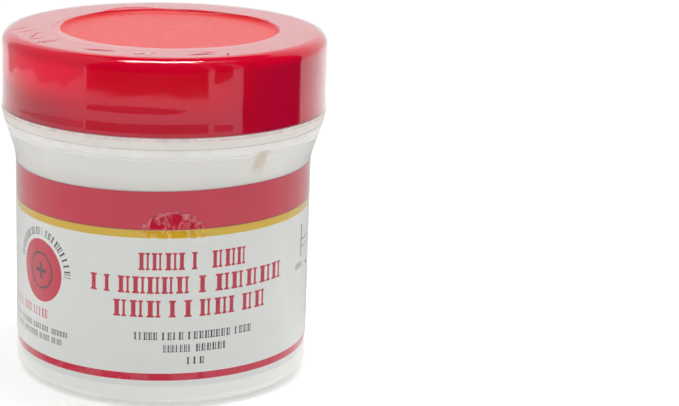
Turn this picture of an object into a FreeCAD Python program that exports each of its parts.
import FreeCAD, Part
import math
import os

from FreeCAD import Vector

# A small round powder jar: a threaded plastic jar, a screw cap with a foam liner, a wrap label,
# a clear shrink sleeve that is split at its tear line, and the powder inside.
#
# Millimetres, +Z up. The origin is the centre of the base, on the surface that the jar stands on.
# The front of the label faces -Y and its seam is at +Y. The thread is right-handed.

# Outer sizes
CAP_RADIUS = 22.38
CAP_TOP = 47.95
CAP_HEIGHT = 10.40
CAP_EDGE_ROUNDING = 1.80
PANEL_RADIUS = 20.40
SHOULDER_RADIUS = 22.22
SHOULDER_HEIGHT = 36.10
SHOULDER_ROUNDING = 0.50
PANEL_TOP = 31.00
FLARE_ROUNDING = 4.00
HEEL_ROUNDING = 1.65
FOOT_STEP = 0.15

# Walls and closure
JAR_WALL = 1.10
FLOOR_THICKNESS = 1.30
PUSH_UP = 0.80
FOOT_INNER_RADIUS = 16.20
FOOT_OUTER_RADIUS = 18.60
PUSH_UP_RUN = 1.60
PUSH_UP_ROUNDING = 1.20
NECK_RADIUS = 19.85
NECK_ROUNDING = 0.40
MOUTH_RADIUS = 18.40
SKIRT_INNER_RADIUS = 21.20
SKIRT_CHAMFER = 0.35
CAP_RECESS_RADIUS = 15.35
CAP_RECESS_DEPTH = 0.45
CAP_TOP_THICKNESS = 1.55
LINER_THICKNESS = 0.78
LINER_RADIUS = 20.85
CONTACT_GAP = 0.03

# Thread
PITCH = 25.4 / 6.0
JAR_THREAD_CREST = 21.00
CAP_THREAD_CREST = 20.10
RIDGE_ROOT_HALF_WIDTH = 1.15
RIDGE_CREST_HALF_WIDTH = 0.55
RIDGE_EMBED = 0.25
RIDGE_CREST_DROP = 0.15
RIDGE_END_REACH = 1.6 * RIDGE_ROOT_HALF_WIDTH
RIDGE_END_DEPTH = 0.10
RIDGE_END_BORE_RADIUS = 18.50
JAR_THREAD_START = 38.05
JAR_THREAD_TURNS = 1.25
CAP_THREAD_START = 39.00
CAP_THREAD_TURNS = 1.20
THREAD_BIAS = 0.30

# Label, sleeve and powder
LABEL_BOTTOM = 2.90
LABEL_TOP = 30.35
LABEL_THICKNESS = 0.10
LABEL_SEAM_GAP = 2.00
SKIN_GAP = 0.02
FILM_THICKNESS = 0.08
FILM_GAP = 0.04
FILM_FLARE_ROUNDING = 7.00
FILM_HOLE_RADIUS = 14.92
TEAR_LINE = 37.20
TEAR_GAP = 0.04
POWDER_LEVEL = 26.00
POWDER_HEAP = 0.60

CAP_BOTTOM = CAP_TOP - CAP_HEIGHT
CAP_CEILING = CAP_TOP - CAP_TOP_THICKNESS
RIM = CAP_CEILING - LINER_THICKNESS - 2 * CONTACT_GAP
AXIS = Vector(0, 0, 1)
ORIGIN = Vector(0, 0, 0)


def outline_edges(corners):
    """Edges of a closed outline of corners (radius, height, rounding) joined by tangent arcs."""
    points = [Vector(radius, 0, height) for radius, height, _ in corners]
    bends = []
    for index, (_, _, rounding) in enumerate(corners):
        corner = points[index]
        if rounding == 0:
            bends.append((corner, None, corner))
            continue
        back = (points[index - 1] - corner).normalize()
        ahead = (points[(index + 1) % len(points)] - corner).normalize()
        half_angle = back.getAngle(ahead) / 2
        reach = rounding / math.tan(half_angle)
        inward = (back + ahead).normalize()
        middle = corner + inward * (rounding / math.sin(half_angle) - rounding)
        bends.append((corner + back * reach, middle, corner + ahead * reach))
    edges = []
    for index, (entry, middle, leave) in enumerate(bends):
        if middle is not None:
            edges.append(Part.Arc(entry, middle, leave).toShape())
        following = bends[(index + 1) % len(bends)][0]
        if leave.distanceToPoint(following) > 1e-6:
            edges.append(Part.LineSegment(leave, following).toShape())
    return edges


def turned(corners, seam_gap=0.0):
    """Solid of revolution about +Z. A seam gap, in degrees, is left open around +Y."""
    face = Part.Face(Part.Wire(outline_edges(corners)))
    face.rotate(ORIGIN, AXIS, 90 + seam_gap / 2)
    return face.revolve(ORIGIN, AXIS, 360 - seam_gap)


def shifted_right(path, distance):
    """An open path of corners moved to the right of its direction of travel."""
    normals = []
    for (radius_a, height_a, _), (radius_b, height_b, _) in zip(path, path[1:]):
        length = math.hypot(radius_b - radius_a, height_b - height_a)
        normals.append(((height_b - height_a) / length, (radius_a - radius_b) / length))
    moved = []
    for index, (radius, height, rounding) in enumerate(path):
        before = normals[max(index - 1, 0)]
        after = normals[min(index, len(normals) - 1)]
        reach = distance / (1 + before[0] * after[0] + before[1] * after[1])
        turn = before[0] * after[1] - before[1] * after[0]
        if rounding > 0:
            rounding += math.copysign(distance, turn)
        moved.append((radius + (before[0] + after[0]) * reach,
                      height + (before[1] + after[1]) * reach,
                      rounding))
    return moved


def turned_skin(path, thickness):
    """A thin revolved skin whose outer face follows the path."""
    inner = shifted_right(path, thickness)
    return turned(path + inner[::-1])


def thread_ridge(root_radius, crest_radius, start_height, turns, start_angle):
    """A round-crested ridge swept up a right-hand helix."""
    flank = crest_radius + RIDGE_CREST_DROP * (root_radius - crest_radius)
    foot_low = Vector(root_radius, 0, -RIDGE_ROOT_HALF_WIDTH)
    foot_high = Vector(root_radius, 0, RIDGE_ROOT_HALF_WIDTH)
    crest_low = Vector(flank, 0, -RIDGE_CREST_HALF_WIDTH)
    crest_high = Vector(flank, 0, RIDGE_CREST_HALF_WIDTH)
    profile = Part.Wire([
        Part.LineSegment(foot_low, crest_low).toShape(),
        Part.Arc(crest_low, Vector(crest_radius, 0, 0), crest_high).toShape(),
        Part.LineSegment(crest_high, foot_high).toShape(),
        Part.LineSegment(foot_high, foot_low).toShape(),
    ])
    helix = Part.makeHelix(PITCH, PITCH * turns, root_radius)
    ridge = Part.Wire(helix).makePipeShell([profile], True, True)
    ridge.rotate(ORIGIN, AXIS, start_angle)
    ridge.translate(Vector(0, 0, start_height))
    return ridge


def ridge_ends(start_height, turns, start_angle):
    """Angle and height of both ends of a ridge."""
    return [(start_angle, start_height), (start_angle + 360 * turns, start_height + PITCH * turns)]


def jar_ridge():
    """The jar's thread. At each end a flat lets it sink into the neck."""
    ridge = thread_ridge(NECK_RADIUS - RIDGE_EMBED, JAR_THREAD_CREST,
                         JAR_THREAD_START, JAR_THREAD_TURNS, 0)
    depth, width = 5, 30
    for angle, height in ridge_ends(JAR_THREAD_START, JAR_THREAD_TURNS, 0):
        corner = Vector(NECK_RADIUS - RIDGE_END_DEPTH, -width / 2, height - RIDGE_END_REACH)
        flat = Part.makeBox(depth, width, 2 * RIDGE_END_REACH, corner)
        flat.rotate(ORIGIN, AXIS, angle)
        ridge = ridge.cut(flat)
    return ridge


def cap_ridge():
    """The cap's thread, below the jar's. At each end an eccentric bore lets it sink into the skirt."""
    rise_above_jar = CAP_THREAD_START - JAR_THREAD_START + PITCH / 2 - THREAD_BIAS
    start_angle = 360 * rise_above_jar / PITCH
    ridge = thread_ridge(SKIRT_INNER_RADIUS + RIDGE_EMBED, CAP_THREAD_CREST,
                         CAP_THREAD_START, CAP_THREAD_TURNS, start_angle)
    offset = SKIRT_INNER_RADIUS + RIDGE_END_DEPTH - RIDGE_END_BORE_RADIUS
    for angle, height in ridge_ends(CAP_THREAD_START, CAP_THREAD_TURNS, start_angle):
        foot = Vector(offset, 0, height - RIDGE_END_REACH)
        bore = Part.makeCylinder(RIDGE_END_BORE_RADIUS, 2 * RIDGE_END_REACH, foot)
        bore.rotate(ORIGIN, AXIS, angle)
        ridge = ridge.cut(bore)
    return ridge


def jar_body():
    """Blown jar: foot ring, push-up base, label panel, flared shoulder and threaded neck."""
    inner_panel = PANEL_RADIUS - JAR_WALL
    flare_slope = (SHOULDER_RADIUS - PANEL_RADIUS) / (SHOULDER_HEIGHT - PANEL_TOP)
    inner_shoulder_height = SHOULDER_HEIGHT - JAR_WALL
    inner_shoulder = inner_panel + flare_slope * (inner_shoulder_height - PANEL_TOP)
    corners = [
        (0, PUSH_UP, 0),
        (FOOT_INNER_RADIUS - PUSH_UP_RUN, PUSH_UP, PUSH_UP_ROUNDING),
        (FOOT_INNER_RADIUS, 0, 0.3),
        (FOOT_OUTER_RADIUS, 0, 0.05),
        (FOOT_OUTER_RADIUS + FOOT_STEP, FOOT_STEP, 0),
        (PANEL_RADIUS, FOOT_STEP, HEEL_ROUNDING - FOOT_STEP),
        (PANEL_RADIUS, PANEL_TOP, FLARE_ROUNDING),
        (SHOULDER_RADIUS, SHOULDER_HEIGHT, SHOULDER_ROUNDING),
        (NECK_RADIUS, SHOULDER_HEIGHT, NECK_ROUNDING),
        (NECK_RADIUS, RIM, NECK_ROUNDING),
        (MOUTH_RADIUS, RIM, NECK_ROUNDING),
        (MOUTH_RADIUS, inner_shoulder_height, 0.8),
        (inner_shoulder, inner_shoulder_height, 0.8),
        (inner_panel, PANEL_TOP, FLARE_ROUNDING + 1.0),
        (inner_panel, FLOOR_THICKNESS, 1.0),
        (FOOT_INNER_RADIUS, FLOOR_THICKNESS, PUSH_UP_ROUNDING),
        (FOOT_INNER_RADIUS - PUSH_UP_RUN, PUSH_UP + FLOOR_THICKNESS, PUSH_UP_ROUNDING),
        (0, PUSH_UP + FLOOR_THICKNESS, 0),
    ]
    return turned(corners).fuse(jar_ridge())


def screw_cap():
    """Smooth cap: flat top with a shallow round recess, rounded edge, threaded skirt."""
    corners = [
        (0, CAP_TOP - CAP_RECESS_DEPTH, 0),
        (0, CAP_CEILING, 0),
        (SKIRT_INNER_RADIUS, CAP_CEILING, 0.3),
        (SKIRT_INNER_RADIUS, CAP_BOTTOM + SKIRT_CHAMFER, 0),
        (SKIRT_INNER_RADIUS + SKIRT_CHAMFER, CAP_BOTTOM, 0),
        (CAP_RADIUS, CAP_BOTTOM, 0.25),
        (CAP_RADIUS, CAP_TOP, CAP_EDGE_ROUNDING),
        (CAP_RECESS_RADIUS + 0.25, CAP_TOP, 0.2),
        (CAP_RECESS_RADIUS, CAP_TOP - CAP_RECESS_DEPTH, 0.2),
    ]
    return turned(corners).fuse(cap_ridge())


def cap_liner():
    """Foam disc between the cap and the rim."""
    bottom = RIM + CONTACT_GAP
    top = bottom + LINER_THICKNESS
    corners = [
        (0, bottom, 0),
        (LINER_RADIUS, bottom, 0.1),
        (LINER_RADIUS, top, 0.1),
        (0, top, 0),
    ]
    return turned(corners)


def wrap_label():
    """Label around the panel, open at its seam."""
    inner = PANEL_RADIUS + SKIN_GAP
    outer = inner + LABEL_THICKNESS
    corners = [
        (inner, LABEL_BOTTOM, 0),
        (outer, LABEL_BOTTOM, 0),
        (outer, LABEL_TOP, 0),
        (inner, LABEL_TOP, 0),
    ]
    return turned(corners, math.degrees(LABEL_SEAM_GAP / outer))


def shrink_film_upper():
    """The sleeve above its tear line: a ring over the cap's top and a band around its side."""
    outer = CAP_RADIUS + FILM_GAP + FILM_THICKNESS
    top = CAP_TOP + SKIN_GAP + FILM_THICKNESS
    path = [
        (FILM_HOLE_RADIUS, top, 0),
        (outer, top, CAP_EDGE_ROUNDING + 0.1),
        (outer, TEAR_LINE + TEAR_GAP / 2, 0),
    ]
    return turned_skin(path, FILM_THICKNESS)


def shrink_film_lower():
    """The sleeve below its tear line, over the shoulder, the label and the heel."""
    cap_side = CAP_RADIUS + FILM_GAP + FILM_THICKNESS
    panel_side = PANEL_RADIUS + SKIN_GAP + LABEL_THICKNESS + SKIN_GAP + FILM_THICKNESS
    hem = FOOT_STEP - SKIN_GAP - FILM_THICKNESS
    path = [
        (cap_side, TEAR_LINE - TEAR_GAP / 2, 0),
        (SHOULDER_RADIUS + FILM_GAP + FILM_THICKNESS + 0.1, SHOULDER_HEIGHT - 0.25, 0.8),
        (panel_side, LABEL_TOP + 0.45, FILM_FLARE_ROUNDING),
        (panel_side, hem, HEEL_ROUNDING),
        (FOOT_OUTER_RADIUS + FOOT_STEP + 0.1, hem, 0),
    ]
    return turned_skin(path, FILM_THICKNESS)


def powder_fill():
    """The powder, slightly heaped, resting on the jar's floor."""
    side = PANEL_RADIUS - JAR_WALL - CONTACT_GAP
    floor = FLOOR_THICKNESS + CONTACT_GAP
    corners = [
        (0, PUSH_UP + floor, 0),
        (FOOT_INNER_RADIUS - PUSH_UP_RUN, PUSH_UP + floor, PUSH_UP_ROUNDING),
        (FOOT_INNER_RADIUS, floor, PUSH_UP_ROUNDING),
        (side, floor, 1.0),
        (side, POWDER_LEVEL, 0.3),
        (side * 0.45, POWDER_LEVEL + POWDER_HEAP, 6.0),
        (0, POWDER_LEVEL + POWDER_HEAP, 0),
    ]
    return turned(corners)


def main():
    os.makedirs("parts", exist_ok=True)
    makers = [jar_body, screw_cap, cap_liner, wrap_label, shrink_film_upper, shrink_film_lower, powder_fill]
    for maker in makers:
        shape = maker()
        shape.exportStep(os.path.join("parts", maker.__name__ + ".step"))
        print(maker.__name__, "volume", round(shape.Volume / 1000, 3), "cm3, valid", shape.isValid(),
              "solids", len(shape.Solids))


main()
